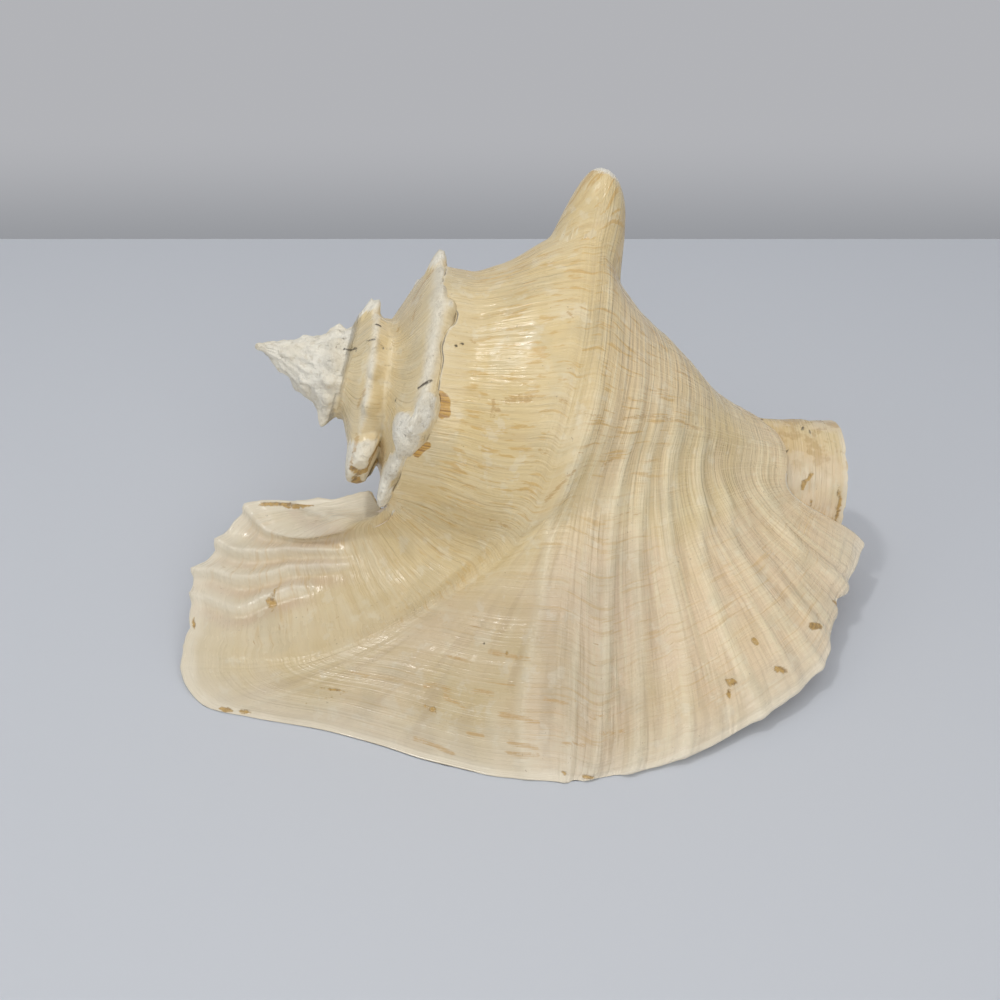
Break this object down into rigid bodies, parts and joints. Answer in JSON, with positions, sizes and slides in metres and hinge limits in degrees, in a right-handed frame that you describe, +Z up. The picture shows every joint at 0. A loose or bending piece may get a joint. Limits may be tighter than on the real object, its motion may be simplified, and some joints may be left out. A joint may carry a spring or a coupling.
{
  "type": "queen conch shell",
  "caption": "Adult spiral sea snail shell with a spined crown, long dorsal spine and wide flared lip, lying on its opening; faded cream, for display.",
  "frame": {"origin": "centre of the bounding box on the surface the shell rests on", "axes": "+X from the apex of the spire to the siphonal canal, +Z up from the resting surface, the flared lip spreads towards -Y"},
  "size_m": [0.2638, 0.204, 0.1523],
  "materials": {
    "shell": "satin"
  },
  "bodies": {
    "root": {"conch_shell": "shell"}
  },
  "joints": []
}
